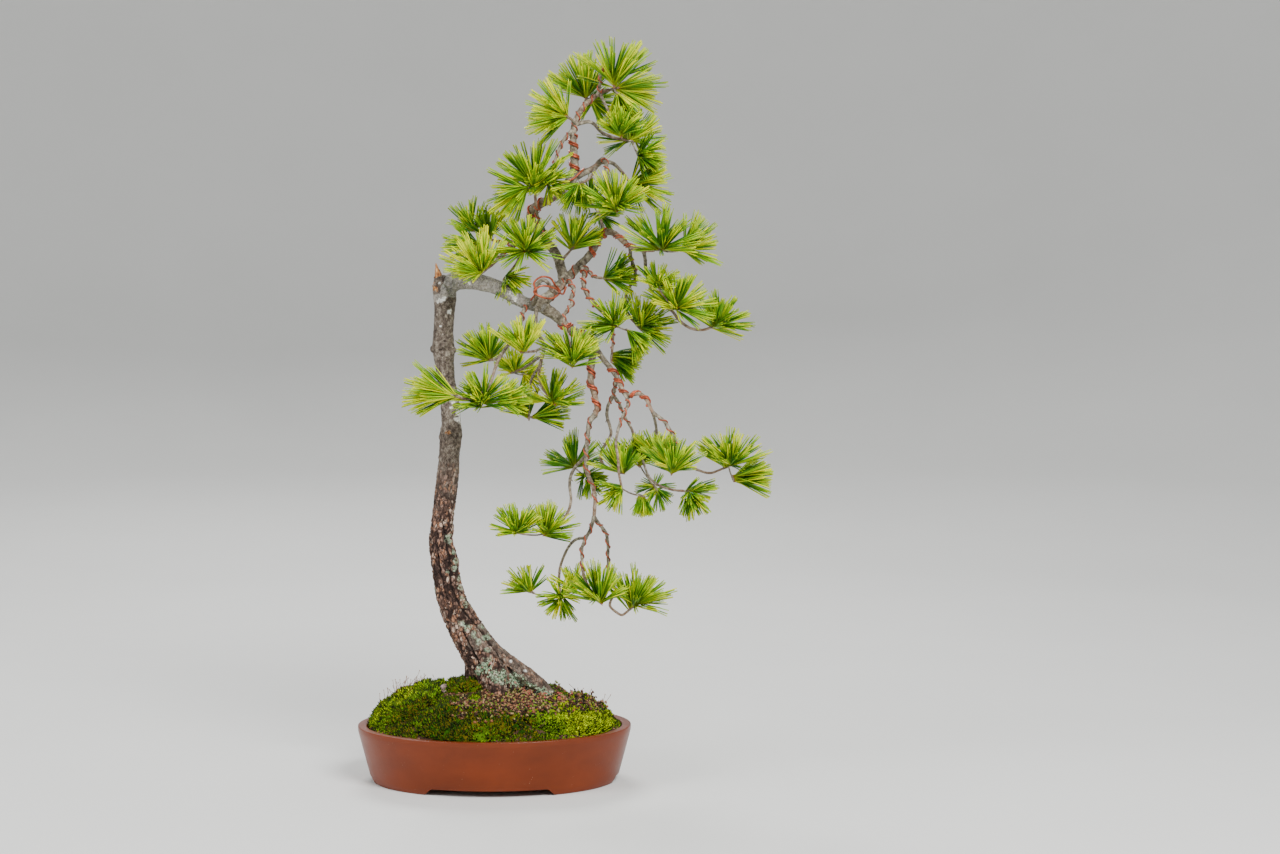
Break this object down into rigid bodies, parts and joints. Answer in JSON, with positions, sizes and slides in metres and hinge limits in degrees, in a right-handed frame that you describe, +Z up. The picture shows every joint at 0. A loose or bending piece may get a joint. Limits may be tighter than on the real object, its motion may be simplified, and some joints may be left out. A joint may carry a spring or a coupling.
{
  "type": "weeping white pine bonsai in a pot",
  "caption": "Weeping white pine bonsai with a bare leaning trunk, hanging wired branches and needle tufts, in an oval unglazed clay pot with mossy soil.",
  "frame": {"origin": "on the ground, under the middle of the whole outline of tree and pot", "axes": "+Z up, +X to the viewer's right along the pot's long side, the way the crown hangs out over the trunk, and -Y towards the viewer of the front"},
  "size_m": [0.4584, 0.27, 0.8048],
  "materials": {
    "clay": "unglazed red-brown stoneware, smooth and softly shining",
    "bark": "grey-brown pine bark, flaky and fissured low down, smoother higher up, with pale lichen",
    "needles": "fresh yellow-green pine needles, satin",
    "copper": "annealed copper training wire, dull orange-brown",
    "soil": "gritty dark potting soil with a reddish-brown dry top layer",
    "moss": "dense living moss, from vivid yellow-green to dark olive",
    "net": "dark plastic drain netting"
  },
  "bodies": {
    "root": {"pot": "clay", "drain_net_left": "net", "drain_net_right": "net", "soil": "soil", "moss_left": "moss", "moss_front": "moss", "moss_right": "moss", "moss_back": "moss", "pine_wood": "bark", "wire_bough": "copper", "wire_leader": "copper", "wire_top": "copper", "wire_low_bough": "copper", "wire_low_fall": "copper", "wire_fall": "copper", "wire_right_drop": "copper", "needles_crown_loop": "needles", "needles_top": "needles", "needles_top_front": "needles", "needles_top_back": "needles", "needles_top_left": "needles", "needles_top_right": "needles", "needles_top_drop": "needles", "needles_crown_front": "needles", "needles_crown_right": "needles", "needles_crown_drop": "needles", "needles_nest": "needles", "needles_white_twig": "needles", "needles_left_bough": "needles", "needles_left_upper": "needles", "needles_star_twig": "needles", "needles_arm_twig": "needles", "needles_vee_twig": "needles", "needles_shelf_twig": "needles", "needles_right_drop": "needles", "needles_right_low": "needles", "needles_right_shelf": "needles", "needles_bough": "needles", "needles_right_mid": "needles", "needles_right_out": "needles", "needles_inner_left": "needles", "needles_inner_left_back": "needles", "needles_inner_left_far": "needles", "needles_inner_right": "needles", "needles_inner_right_front": "needles", "needles_inner_right_back": "needles", "needles_inner_right_low": "needles", "needles_wired_twig": "needles", "needles_hang_top": "needles", "needles_hang_left": "needles", "needles_fall_left": "needles", "needles_fall_back": "needles", "needles_fall_mid": "needles", "needles_fall_low": "needles", "needles_fall_inner": "needles", "needles_fall_front": "needles", "needles_fall_out": "needles", "needles_tail_left": "needles", "needles_tail_mid": "needles", "needles_tail_right": "needles"}
  },
  "joints": []
}
